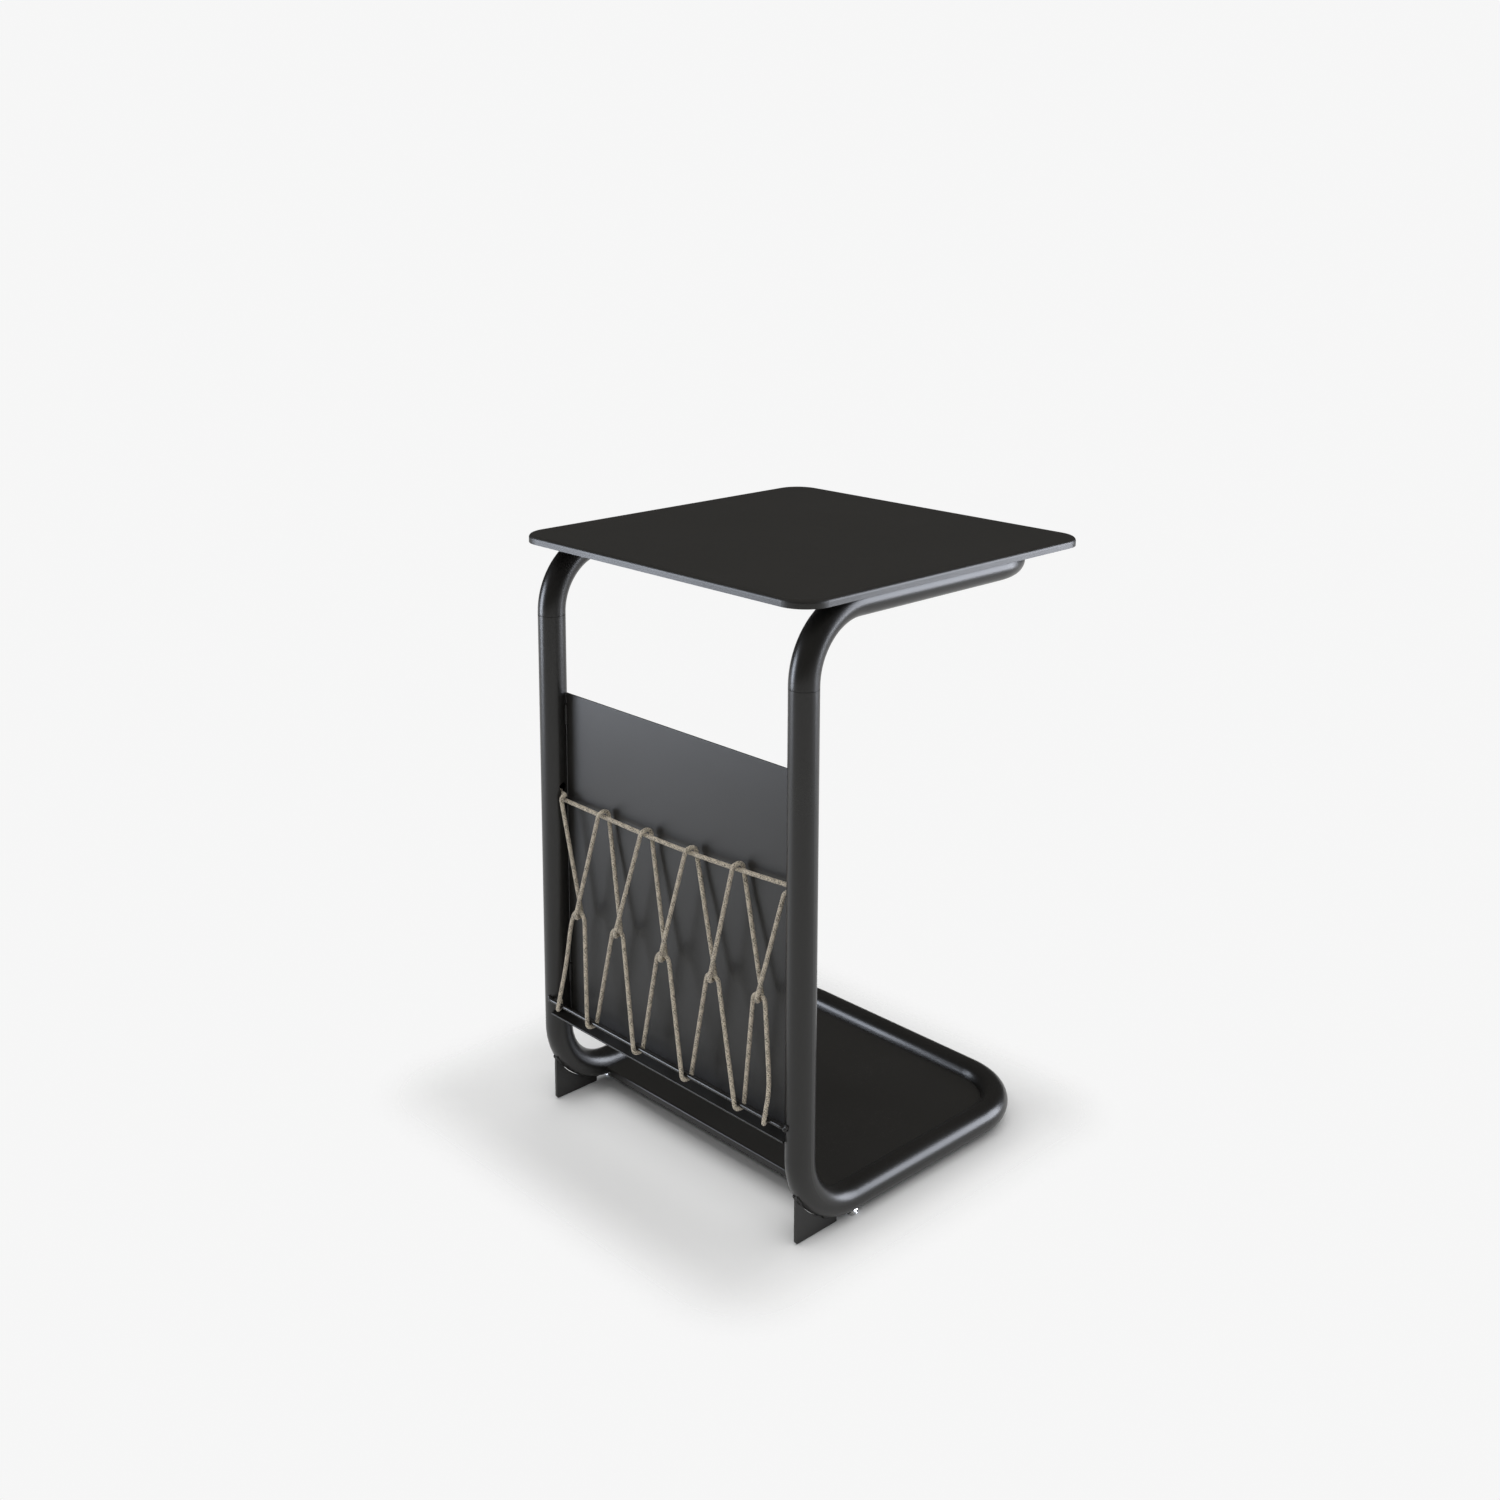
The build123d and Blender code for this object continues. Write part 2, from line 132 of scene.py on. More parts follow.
# Control points of the three cords, from end to end.
TOP_CORD_ROUTE = [
    (-0.1680, -0.1765, 0.3350), (-0.0950, -0.1786, 0.3352), (-0.0300, -0.1794, 0.3348),
    (0.0340, -0.1794, 0.3356), (0.0970, -0.1786, 0.3384), (0.1680, -0.1765, 0.3424),
]
UPPER_LACING_ROUTE = [
    (-0.1680, -0.1765, 0.3412), (-0.1565, -0.1765, 0.3414), (-0.1572, -0.1838, 0.3402),
    (-0.1556, -0.1836, 0.3330), (-0.1330, -0.1804, 0.2319), (-0.1305, -0.1800, 0.2207),
    (-0.1278, -0.1912, 0.2207), (-0.1248, -0.1906, 0.2318), (-0.0985, -0.1850, 0.3303),
    (-0.0956, -0.1844, 0.3410), (-0.0946, -0.1734, 0.3408), (-0.0923, -0.1740, 0.3300),
    (-0.0714, -0.1794, 0.2324), (-0.0690, -0.1800, 0.2212), (-0.0666, -0.1912, 0.2212),
    (-0.0633, -0.1906, 0.2321), (-0.0336, -0.1857, 0.3300), (-0.0304, -0.1852, 0.3406),
    (-0.0294, -0.1742, 0.3404), (-0.0269, -0.1747, 0.3296), (-0.0042, -0.1795, 0.2302),
    (-0.0016, -0.1800, 0.2190), (0.0008, -0.1912, 0.2190), (0.0038, -0.1907, 0.2301),
    (0.0307, -0.1857, 0.3307), (0.0336, -0.1852, 0.3414), (0.0348, -0.1742, 0.3412),
    (0.0378, -0.1747, 0.3306), (0.0653, -0.1795, 0.2338), (0.0684, -0.1800, 0.2228),
    (0.0708, -0.1912, 0.2228), (0.0732, -0.1906, 0.2340), (0.0943, -0.1850, 0.3336),
    (0.0966, -0.1844, 0.3444), (0.0978, -0.1734, 0.3442), (0.1008, -0.1740, 0.3336),
    (0.1277, -0.1794, 0.2365), (0.1308, -0.1800, 0.2254), (0.1334, -0.1912, 0.2254),
    (0.1357, -0.1898, 0.2366), (0.1534, -0.1784, 0.3245), (0.1558, -0.1769, 0.3364),
    (0.1680, -0.1765, 0.3364),
]
LOWER_LACING_ROUTE = [
    (-0.1595, -0.1869, 0.1214), (-0.1585, -0.1869, 0.1134), (-0.1524, -0.1971, 0.1134),
    (-0.1507, -0.1955, 0.1251), (-0.1446, -0.1896, 0.1680), (-0.1390, -0.1855, 0.2260),
    (-0.1196, -0.1855, 0.2266),
    (-0.1169, -0.1875, 0.2075), (-0.1049, -0.1960, 0.1237), (-0.1034, -0.1971, 0.1134),
    (-0.1012, -0.1869, 0.1134), (-0.0988, -0.1868, 0.1236), (-0.0780, -0.1857, 0.2122),
    (-0.0746, -0.1855, 0.2264), (-0.0600, -0.1855, 0.2272), (-0.0564, -0.1869, 0.2131),
    (-0.0335, -0.1961, 0.1233), (-0.0310, -0.1971, 0.1134), (-0.0296, -0.1869, 0.1134),
    (-0.0276, -0.1868, 0.1235), (-0.0105, -0.1857, 0.2091), (-0.0074, -0.1855, 0.2244),
    (0.0082, -0.1855, 0.2250), (0.0125, -0.1871, 0.2101), (0.0372, -0.1961, 0.1232),
    (0.0400, -0.1971, 0.1134), (0.0412, -0.1869, 0.1134), (0.0431, -0.1868, 0.1235),
    (0.0603, -0.1857, 0.2138), (0.0630, -0.1855, 0.2280), (0.0774, -0.1855, 0.2286),
    (0.0816, -0.1869, 0.2149), (0.1098, -0.1961, 0.1232), (0.1128, -0.1971, 0.1134),
    (0.1140, -0.1869, 0.1134), (0.1150, -0.1868, 0.1236), (0.1236, -0.1857, 0.2160),
    (0.1250, -0.1855, 0.2306), (0.1396, -0.1855, 0.2314), (0.1421, -0.1868, 0.2170),
    (0.1474, -0.1897, 0.1863), (0.1536, -0.1930, 0.1500), (0.1510, -0.1958, 0.1253),
    (0.1498, -0.1971, 0.1134), (0.1434, -0.1869, 0.1134), (0.1424, -0.1869, 0.1214),
]


# ---------------------------------------------------------------- settings

class SIDETABLE_paint(PropertyGroup):
    """Powder coat of the frame, the sheets and the welds."""
    colour: FloatVectorProperty(
        name="Colour", description="Colour of the powder coat", subtype="COLOR",
        default=(0.016, 0.0152, 0.0138), min=0.0, max=1.0)
    roughness: FloatProperty(
        name="Roughness", description="Middle roughness of the coat", default=0.36, min=0.05, max=1.0)
    grain: FloatProperty(
        name="Grain", description="Size of the coat's fine grain", default=0.0007, min=0.0001, unit="LENGTH")
    relief: FloatProperty(
        name="Relief", description="Height of the coat's fine grain", default=0.00003, min=0.0, unit="LENGTH")


class SIDETABLE_cord(PropertyGroup):
    """Round braided cord of the rack."""
    diameter: FloatProperty(
        name="Diameter", description="Outer diameter of the cord", default=0.0044, min=0.001, unit="LENGTH")
    strands: IntProperty(
        name="Strands Each Way", description="Strands that wind each way round the cord", default=8, min=4)
    relief: FloatProperty(
        name="Relief", description="How far the strands stand proud", default=0.0004, min=0.0, unit="LENGTH")
    colour: FloatVectorProperty(
        name="Colour", description="Colour of the yarn", subtype="COLOR",
        default=(0.62, 0.55, 0.44), min=0.0, max=1.0)
    # Painted shade: near black laid deep between the strands, where the braid's own relief falls in shadow.
    painted_gap_shade: FloatVectorProperty(
        name="Painted Gap Shade", description="Painted shade deep between the strands", subtype="COLOR",
        default=(0.035, 0.026, 0.018), min=0.0, max=1.0)


class SIDETABLE_glide(PropertyGroup):
    """Levelling glides under the base rails."""
    thread_pitch: FloatProperty(
        name="Thread Pitch", description="Pitch of the stud's thread", default=0.001, min=0.0002,
        unit="LENGTH")
    thread_depth: FloatProperty(
        name="Thread Depth", description="Depth of the stud's thread", default=0.0005, min=0.0, unit="LENGTH")


class SIDETABLE_weld(PropertyGroup):
    """Short weld beads."""
    ripple_pitch: FloatProperty(
        name="Ripple Pitch", description="Distance between a bead's ripples", default=0.0012, min=0.0003,
        unit="LENGTH")
    ripple_depth: FloatProperty(
        name="Ripple Depth", description="Depth of the ripples, as a part of the bead's radius", default=0.12,
        min=0.0, max=0.5)


class SIDETABLE_studio(PropertyGroup):
    """Floor, lights and camera."""
    floor_colour: FloatVectorProperty(
        name="Floor Colour", description="Colour of the floor", subtype="COLOR",
        default=(0.815, 0.82, 0.828), min=0.0, max=1.0)
    floor_radius: FloatProperty(
        name="Floor Radius", description="Reach of the floor round the table", default=6.0, min=1.0,
        unit="LENGTH")
    fade_centre: FloatVectorProperty(
        name="Fade Centre", description="Middle of the floor's visible patch", default=(-0.045, -0.04, 0.0))
    fade_half_size: FloatVectorProperty(
        name="Fade Half Size", description="Half the visible patch's sides", default=(0.21, 0.2, 0.0))
    fade_width: FloatProperty(
        name="Fade Width", description="Strip over which the floor melts away", default=0.11, min=0.01)
    backdrop: FloatProperty(
        name="Backdrop", description="Brightness of the backdrop behind the floor", default=0.925, min=0.0)
    ambient: FloatProperty(
        name="Ambient", description="Brightness of the room's even light", default=0.048, min=0.0)


SETTINGS = {
    "sidetable_paint": SIDETABLE_paint,
    "sidetable_cord": SIDETABLE_cord,
    "sidetable_glide": SIDETABLE_glide,
    "sidetable_weld": SIDETABLE_weld,
    "sidetable_studio": SIDETABLE_studio,
}


# ---------------------------------------------------------------- node helpers

def new_group(name, inputs, outputs):
    """Empty shader node group with float sockets, and its two end nodes."""
    group = bpy.data.node_groups.new(name, "ShaderNodeTree")
    for socket, value in inputs.items():
        made = group.interface.new_socket(socket, in_out="INPUT", socket_type="NodeSocketFloat")
        made.default_value = value
    group.interface.new_socket("Position", in_out="INPUT", socket_type="NodeSocketVector")
    for socket in outputs:
        group.interface.new_socket(socket, in_out="OUTPUT", socket_type="NodeSocketFloat")
    return group, group.nodes.new("NodeGroupInput"), group.nodes.new("NodeGroupOutput")


def math_node(tree, operation, first, second=None, clamp=False):
    """Math node fed by sockets or plain numbers."""
    node = tree.nodes.new("ShaderNodeMath")
    node.operation = operation
    node.use_clamp = clamp
    for socket, value in zip(node.inputs, (first, second)):
        if value is None:
            continue
        if isinstance(value, bpy.types.NodeSocket):
            tree.links.new(value, socket)
        else:
            socket.default_value = value
    return node.outputs[0]


def noise(tree, position, scale, detail=2.0):
    node = tree.nodes.new("ShaderNodeTexNoise")
    node.inputs["Detail"].default_value = detail
    tree.links.new(position, node.inputs["Vector"])
    if isinstance(scale, bpy.types.NodeSocket):
        tree.links.new(scale, node.inputs["Scale"])
    else:
        node.inputs["Scale"].default_value = scale
    return node.outputs["Fac"]


def remap(tree, value, low, high, new_low, new_high, smooth=False):
    node = tree.nodes.new("ShaderNodeMapRange")
    node.interpolation_type = "SMOOTHSTEP" if smooth else "LINEAR"
    tree.links.new(value, node.inputs["Value"])
    for socket, number in zip(("From Min", "From Max", "To Min", "To Max"), (low, high, new_low, new_high)):
        node.inputs[socket].default_value = number
    return node.outputs["Result"]


def blend_colours(tree, factor, first, second):
    node = tree.nodes.new("ShaderNodeMix")
    node.data_type = "RGBA"
    tree.links.new(factor, node.inputs["Factor"])
    for socket, colour in (("A", first), ("B", second)):
        target = [entry for entry in node.inputs if entry.name == socket and entry.type == "RGBA"][0]
        if isinstance(colour, bpy.types.NodeSocket):
            tree.links.new(colour, target)
        else:
            target.default_value = (*colour, 1.0)
    return [entry for entry in node.outputs if entry.type == "RGBA"][0]


def new_material(name):
    material = bpy.data.materials.new(name)
    material.use_nodes = True
    tree = material.node_tree
    shader = tree.nodes["Principled BSDF"]
    position = tree.nodes.new("ShaderNodeTexCoord").outputs["Object"]
    return material, tree, shader, position


def use_group(tree, group, position, values):
    node = tree.nodes.new("ShaderNodeGroup")
    node.node_tree = group
    tree.links.new(position, node.inputs["Position"])
    for socket, value in values.items():
        node.inputs[socket].default_value = value
    return node


def add_bump(tree, shader, height, distance, strength=1.0):
    bump = tree.nodes.new("ShaderNodeBump")
    bump.inputs["Strength"].default_value = strength
    bump.inputs["Distance"].default_value = distance
    tree.links.new(height, bump.inputs["Height"])
    tree.links.new(bump.outputs["Normal"], shader.inputs["Normal"])


# ---------------------------------------------------------------- shared effects

def coat_grain_group():
    """Fine orange peel of sprayed and baked powder: its height, and how its gloss varies."""
    name = "coat_grain"
    if name in bpy.data.node_groups:
        return bpy.data.node_groups[name]
    group, given, result = new_group(name, {"Grain Size": 0.0007}, ("Height", "Gloss"))
    scale = math_node(group, "DIVIDE", 1.0, given.outputs["Grain Size"])
    position = given.outputs["Position"]
    fine = noise(group, position, scale, 2.0)
    broad = noise(group, position, math_node(group, "MULTIPLY", scale, 0.14), 3.0)
    weighted = math_node(group, "MULTIPLY", broad, 0.5)
    group.links.new(math_node(group, "ADD", fine, weighted), result.inputs["Height"])
    cloud = noise(group, position, 9.0, 4.0)
    cloud_share = math_node(group, "MULTIPLY", cloud, 0.6)
    fine_share = math_node(group, "MULTIPLY", fine, 0.4)
    group.links.new(math_node(group, "ADD", cloud_share, fine_share), result.inputs["Gloss"])
    return group


def fine_dust_group():
    """Sparse pale specks that settle on faces that look up."""
    name = "fine_dust"
    if name in bpy.data.node_groups:
        return bpy.data.node_groups[name]
    group, given, result = new_group(name, {"Amount": 0.3}, ("Mask",))
    position = given.outputs["Position"]
    specks = remap(group, noise(group, position, 900.0, 0.0), 0.72, 0.8, 0.0, 1.0, True)
    drifts = remap(group, noise(group, position, 14.0, 3.0), 0.42, 0.7, 0.0, 1.0, True)
    normal = group.nodes.new("ShaderNodeNewGeometry").outputs["Normal"]
    split = group.nodes.new("ShaderNodeSeparateXYZ")
    group.links.new(normal, split.inputs[0])
    upward = remap(group, split.outputs["Z"], 0.5, 0.95, 0.0, 1.0, True)
    lying = math_node(group, "MULTIPLY", math_node(group, "MULTIPLY", specks, drifts), upward)
    group.links.new(math_node(group, "MULTIPLY", lying, given.outputs["Amount"]), result.inputs["Mask"])
    return group


# ---------------------------------------------------------------- materials

def paint_material(settings, name, painted_shade_gain=1.0, roughness_shift=0.0):
    """Warm black powder coat with its grain, gloss clouds and a little dust. A gain below 1 gives a darker
    copy of the coat: painted shade.
    """
    material, tree, shader, position = new_material(name)
    grain = use_group(tree, coat_grain_group(), position, {"Grain Size": settings.grain})
    dust = use_group(tree, fine_dust_group(), position, {"Amount": 0.25})
    # Painted shade: the gain darkens this copy of the one coat.
    base = [channel * painted_shade_gain for channel in settings.colour]
    pale = [min(1.0, channel * 1.25 + 0.002) for channel in base]
    toned = blend_colours(tree, grain.outputs["Gloss"], base, pale)
    dusty = blend_colours(tree, dust.outputs["Mask"], toned, (0.16, 0.15, 0.14))
    tree.links.new(dusty, shader.inputs["Base Color"])
    middle = settings.roughness + roughness_shift
    rough = remap(tree, grain.outputs["Gloss"], 0.3, 0.7, middle - 0.05, middle + 0.05)
    tree.links.new(rough, shader.inputs["Roughness"])
    add_bump(tree, shader, grain.outputs["Height"], settings.relief)
    shader.inputs["Specular IOR Level"].default_value = 0.5
    return material


def cord_material(settings):
    """Braided yarn: each strand has its own tone and fibres, and painted shade darkens the gaps between
    strands.
    """
    material, tree, shader, position = new_material("braided_cord")
    depth = tree.nodes.new("ShaderNodeAttribute")
    depth.attribute_name = "strand_height"
    tone = tree.nodes.new("ShaderNodeAttribute")
    tone.attribute_name = "strand_tone"
    fuzz = noise(tree, position, 5200.0, 3.0)
    flecks = noise(tree, position, 1500.0, 1.0)
    dark_yarn = [channel * 0.2 for channel in settings.colour]
    pale_yarn = [min(1.0, channel * 1.25) for channel in settings.colour]
    mixed = math_node(tree, "ADD", math_node(tree, "MULTIPLY", tone.outputs["Fac"], 0.5),
                      math_node(tree, "MULTIPLY", flecks, 1.5))
    mixed = math_node(tree, "ADD", mixed, math_node(tree, "MULTIPLY", fuzz, 0.3))
    yarn = blend_colours(tree, remap(tree, mixed, 0.85, 1.2, 0.0, 1.0, True), dark_yarn, pale_yarn)
    # Painted shade: where the strands sink, the yarn colour gives way to the near black gap shade.
    raised = remap(tree, depth.outputs["Fac"], 0.3, 0.8, 0.0, 1.0, True)
    shaded = blend_colours(tree, raised, settings.painted_gap_shade, yarn)
    tree.links.new(shaded, shader.inputs["Base Color"])
    tree.links.new(remap(tree, fuzz, 0.3, 0.7, 0.78, 0.95), shader.inputs["Roughness"])
    add_bump(tree, shader, fuzz, 0.00012, 0.8)
    shader.inputs["Sheen Weight"].default_value = 0.25
    shader.inputs["Sheen Roughness"].default_value = 0.5
    return material


def chrome_material():
    """Bright plated steel with hazy spots and a very fine grain."""
    material, tree, shader, position = new_material("glide_chrome")
    haze = noise(tree, position, 420.0, 3.0)
    tree.links.new(remap(tree, haze, 0.35, 0.75, 0.1, 0.24), shader.inputs["Roughness"])
    plating = blend_colours(tree, haze, (0.7, 0.7, 0.7), (0.86, 0.86, 0.85))
    tree.links.new(plating, shader.inputs["Base Color"])
    add_bump(tree, shader, noise(tree, position, 2400.0, 1.0), 0.00001)
    shader.inputs["Metallic"].default_value = 1.0
    return material


def zinc_material():
    """Plated steel of the hidden nuts."""
    material, tree, shader, position = new_material("bare_steel")
    spangle = noise(tree, position, 700.0, 3.0)
    tree.links.new(remap(tree, spangle, 0.3, 0.7, 0.3, 0.5), shader.inputs["Roughness"])
    plating = blend_colours(tree, spangle, (0.38, 0.38, 0.36), (0.56, 0.56, 0.52))
    tree.links.new(plating, shader.inputs["Base Color"])
    shader.inputs["Metallic"].default_value = 1.0
    return material


def give_material(node, material):
    """Show a frame part in this material alone."""
    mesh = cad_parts[node].data
    mesh.materials.clear()
    mesh.materials.append(material)


def new_piece(name, mesh, material, slot, body, *nodes):
    """Put a mesh in the scene as a piece that rides on a body and stands for these frame parts."""
    piece = bpy.data.objects.new(name, mesh)
    bpy.context.scene.collection.objects.link(piece)
    mesh.materials.append(material)
    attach(piece, body)
    if nodes:
        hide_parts(*nodes)
    return piece


# ---------------------------------------------------------------- cord geometry

def smooth_line(route, name):
    """Points along the smooth curve that a route's control points make."""
    curve = bpy.data.curves.new(name, "CURVE")
    curve.dimensions = "3D"
    curve.resolution_u = 24
    spline = curve.splines.new("NURBS")
    spline.points.add(len(route) - 1)
    for point, place in zip(spline.points, route):
        point.co = (*place, 1.0)
    spline.order_u = 3
    spline.use_endpoint_u = True
    holder = bpy.data.objects.new(name, curve)
    bpy.context.scene.collection.objects.link(holder)
    bpy.context.view_layer.update()
    line = bpy.data.meshes.new_from_object(holder)
    points = np.array([vertex.co for vertex in line.vertices], float)
    bpy.data.objects.remove(holder)
    bpy.data.curves.remove(curve)
    bpy.data.meshes.remove(line)
    return points


def evenly(points, step):
    """The same line with points about one step apart, and its length."""
    travel = np.concatenate([[0.0], np.cumsum(np.linalg.norm(np.diff(points, axis=0), axis=1))])
    count = max(4, int(round(travel[-1] / step)))
    wanted = np.linspace(0.0, travel[-1], count + 1)
    return np.stack([np.interp(wanted, travel, points[:, axis]) for axis in range(3)], 1), travel[-1]


def carried_frames(points):
    """Two unit vectors across the line at each point, carried along it without twist."""
    along = np.gradient(points, axis=0)
    along /= np.linalg.norm(along, axis=1)[:, None]
    first = np.cross(along[0], (0.0, 0.0, 1.0))
    if np.linalg.norm(first) < 0.1:
        first = np.cross(along[0], (0.0, 1.0, 0.0))
    across = np.empty_like(points)
    for index, direction in enumerate(along):
        first = first - direction * first.dot(direction)
        first = first / np.linalg.norm(first)
        across[index] = first
    return across, np.cross(along, across)


def braid_pattern(around, along, strands):
    """Height from 0 to 1 and tone of a plain braid, at places counted in strand widths."""
    forward = around + along
    backward = around - along
    forward_cell = np.floor(forward)
    backward_cell = np.floor(backward)
    crown_forward = np.cos(pi * (forward - forward_cell - 0.5)) ** 0.6
    crown_backward = np.cos(pi * (backward - backward_cell - 0.5)) ** 0.6
    wave_forward = np.cos(pi * (backward - 0.5 + forward_cell))
    wave_backward = -np.cos(pi * (forward - 0.5 + backward_cell))
    high_forward = 0.62 * crown_forward + 0.38 * wave_forward
    high_backward = 0.62 * crown_backward + 0.38 * wave_backward
    height = np.clip(np.maximum(high_forward, high_backward), 0.0, 1.0)
    which = np.where(high_forward > high_backward, forward_cell % strands, 31 + backward_cell % strands)
    tone = (np.sin(which * 12.9898) * 43758.5453) % 1.0
    return height, tone


def joined(name, meshes):
    """One mesh from several, with their attributes."""
    holders = [bpy.data.objects.new(name, mesh) for mesh in meshes]
    for holder in holders:
        bpy.context.scene.collection.objects.link(holder)
    with bpy.context.temp_override(
            active_object=holders[0], object=holders[0], selected_objects=holders,
            selected_editable_objects=holders):
        bpy.ops.object.join()
    mesh = holders[0].data
    bpy.data.objects.remove(holders[0])
    return mesh


def ring_stack(rings):
    """Vertices and faces of a closed skin over a stack of equal rings."""
    count, around = rings.shape[:2]
    start = (np.arange(count - 1) * around)[:, None]
    here = np.arange(around)[None, :]
    after = (here + 1) % around
    quads = np.stack([start + here, start + after, start + around + after, start + around + here], -1)
    faces = [tuple(face) for face in quads.reshape(-1, 4).tolist()]
    faces.append(tuple(range(around - 1, -1, -1)))
    faces.append(tuple(range((count - 1) * around, count * around)))
    return rings.reshape(-1, 3).tolist(), faces


def braided_mesh(name, points, settings, around_count=24):
    """Closed tube along a line, with the braid's strands as real relief and rounded, sealed ends."""
    radius = settings.diameter / 2
    strand_width = pi * settings.diameter / settings.strands
    line, length = evenly(points, 4.6 * strand_width / around_count)
    across, upward = carried_frames(line)
    rings = len(line)
    travel = np.linspace(0.0, length, rings)
    turn = np.linspace(0.0, 1.0, around_count, endpoint=False)
    strands_round = np.tile(turn * settings.strands, (rings, 1))
    strands_along = np.tile((travel / strand_width)[:, None], (1, around_count))
    height, tone = braid_pattern(strands_round, strands_along, settings.strands)
    seal = np.minimum(travel, length - travel) / (radius * 0.5)
    shrink = np.sqrt(np.clip(1 - (1 - np.clip(seal, 0, 1)) ** 2, 0.04, 1))
    reach = (radius - (1 - height) * settings.relief) * shrink[:, None]
    angle = 2 * pi * turn
    sideways = np.cos(angle)[None, :, None] * across[:, None, :]
    upwards = np.sin(angle)[None, :, None] * upward[:, None, :]
    vertices, faces = ring_stack(line[:, None, :] + reach[:, :, None] * (sideways + upwards))
    mesh = bpy.data.meshes.new(name)
    mesh.from_pydata(vertices, [], faces)
    mesh.polygons.foreach_set("use_smooth", [True] * len(mesh.polygons))
    # strand_height also places the painted gap shade in the material; it is zero at the sealed ends, so they
    # are painted dark too.
    for attribute, values in (("strand_height", height * (seal[:, None] > 0.4)), ("strand_tone", tone)):
        layer = mesh.attributes.new(attribute, "FLOAT", "POINT")
        layer.data.foreach_set("value", values.astype(np.float32).ravel())
    mesh.update()
    return mesh, length


# ---------------------------------------------------------------- turned and welded shapes

def merged_mesh(name, parts):
    """One smooth mesh from several skins."""
    vertices = []
    faces = []
    for part_vertices, part_faces in parts:
        first = len(vertices)
        vertices += part_vertices
        faces += [tuple(index + first for index in face) for face in part_faces]
    mesh = bpy.data.meshes.new(name)
    mesh.from_pydata(vertices, [], faces)
    mesh.polygons.foreach_set("use_smooth", [True] * len(mesh.polygons))
    mesh.update()
    return mesh


def glide_skin(x, y, settings, around=72):
    """Rounded foot, neck, six-sided head and threaded stud of one glide, as one skin."""
    angle = np.linspace(0.0, 2 * pi, around, endpoint=False)
    flat = (angle + pi / 6) % (pi / 3) - pi / 6
    hexagon = np.minimum(HEAD_HALF_FLATS / np.cos(flat), HEAD_CORNER_RADIUS)
    levels = [(z, hexagon if radius is None else np.full(around, radius)) for z, radius in GLIDE_PROFILE]
    for z in np.linspace(STUD_BOTTOM, STUD_TOP, STUD_LEVELS):
        turns = (z / settings.thread_pitch - angle / (2 * pi)) % 1.0
        groove = np.clip(1.25 - np.abs(2 * turns - 1) * 1.5, 0.0, 1.0)
        reach = STUD_RADIUS - settings.thread_depth * groove
        levels.append((z, reach * np.clip((STUD_TIP - z) / STUD_TIP_LENGTH, 0.6, 1.0)))
    rings = [
        np.stack([x + reach * np.cos(angle), y + reach * np.sin(angle), np.full(around, z)], 1)
        for z, reach in levels
    ]
    return ring_stack(np.array(rings))


def bead_skin(start, end, radius, settings, around=20):
    """Weld bead laid in overlapping crescents, with its last crater left a little low."""
    start = np.array(start, float)
    end = np.array(end, float)
    run = np.linalg.norm(end - start)
    along = (end - start) / run
    side = np.cross(along, (0.0, 0.0, 1.0))
    if np.linalg.norm(side) < 0.1:
        side = np.cross(along, (0.0, 1.0, 0.0))
    side /= np.linalg.norm(side)
    other = np.cross(along, side)
    travel = np.arange(-radius * 0.98, run + radius * 0.98, settings.ripple_pitch / 7)
    beyond = np.maximum(-travel, 0.0) + np.maximum(travel - run, 0.0)
    envelope = np.sqrt(np.clip(1.0 - (beyond / radius) ** 2, 0.02, 1.0))
    crater = 1.0 - 0.16 * np.exp(-((travel - run) / (radius * 0.7)) ** 2)
    angle = np.linspace(0.0, 2 * pi, around, endpoint=False)
    lag = 0.35 * radius * (1.0 - np.cos(angle))
    phase = (travel[:, None] + lag[None, :]) / settings.ripple_pitch
    ripple = 1.0 - settings.ripple_depth * (phase % 1.0) ** 1.5
    wander = 1.0 - 0.03 * np.sin(travel * 2100.0 + start[0] * 900.0)
    reach = radius * (envelope * crater * wander)[:, None] * ripple
    middle = start[None, :] + travel[:, None] * along[None, :]
    ring = np.cos(angle)[:, None] * side[None, :] + np.sin(angle)[:, None] * other[None, :]
    return ring_stack(middle[:, None, :] + reach[:, :, None] * ring[None, :, :])


def foot_bead(x, turn):
    """Ends and radius of a bead that follows a lower bend, round one turn in degrees."""
    ends = []
    for step in (-FOOT_WELD_HALF_TURN, FOOT_WELD_HALF_TURN):
        angle = radians(turn + step)
        y = LOWER_BEND_Y + LOWER_BEND_OUTSIDE * cos(angle)
        z = LOWER_BEND_Z + LOWER_BEND_OUTSIDE * sin(angle)
        ends.append((x, y, z))
    return ends[0], ends[1], FOOT_WELD_RADIUS


def mirrored(side, ends, radius):
    """The same bead on this side of the table."""
    start, end = ((side * x, y, z) for x, y, z in ends)
    return start, end, radius


def edge_beads(side, x, side_y, far_y, z, half, radius):
    """Beads along one side edge of a sheet, and one on its far edge."""
    edge = side * x
    middle = side * FAR_WELD_X
    beads = [((edge, y - half, z), (edge, y + half, z), radius) for y in side_y]
    beads.append(((middle - half, far_y, z), (middle + half, far_y, z), radius))
    return beads


